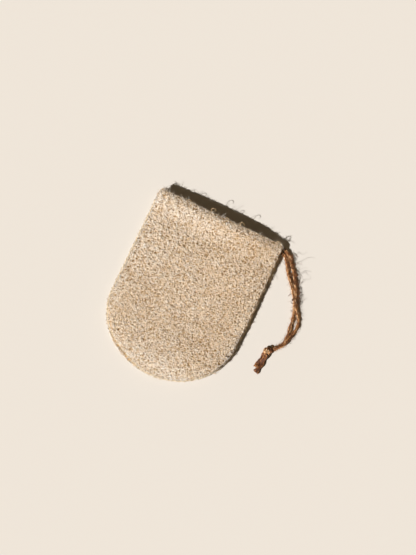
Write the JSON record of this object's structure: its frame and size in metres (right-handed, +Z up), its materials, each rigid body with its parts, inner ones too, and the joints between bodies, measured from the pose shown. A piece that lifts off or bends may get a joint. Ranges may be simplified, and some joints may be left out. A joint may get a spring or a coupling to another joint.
{
  "type": "loofah mitt",
  "caption": "Flat U-shaped bath mitt of two sewn layers of pressed natural loofah, open along its straight edge, with a doubled jute hanging string that ends in a knot.",
  "frame": {"origin": "centre of the mitt's outline, on the surface that it lies on", "axes": "+Y along the mitt's length and out of its open mouth, +X to the side where the string leaves the seam, +Z up out of the front layer"},
  "size_m": [0.2122, 0.2003, 0.0144],
  "materials": {
    "loofah": "dry pressed plant fibre, matt with small bright glints on the fibres",
    "jute": "twisted hairy jute, matt",
    "thread": "undyed cotton thread, matt"
  },
  "bodies": {
    "root": {"loofah_front": "loofah", "loofah_back": "loofah", "seam_thread": "thread", "string_inner_run": "jute", "string_outer_run": "jute", "string_knot": "jute"}
  },
  "joints": []
}
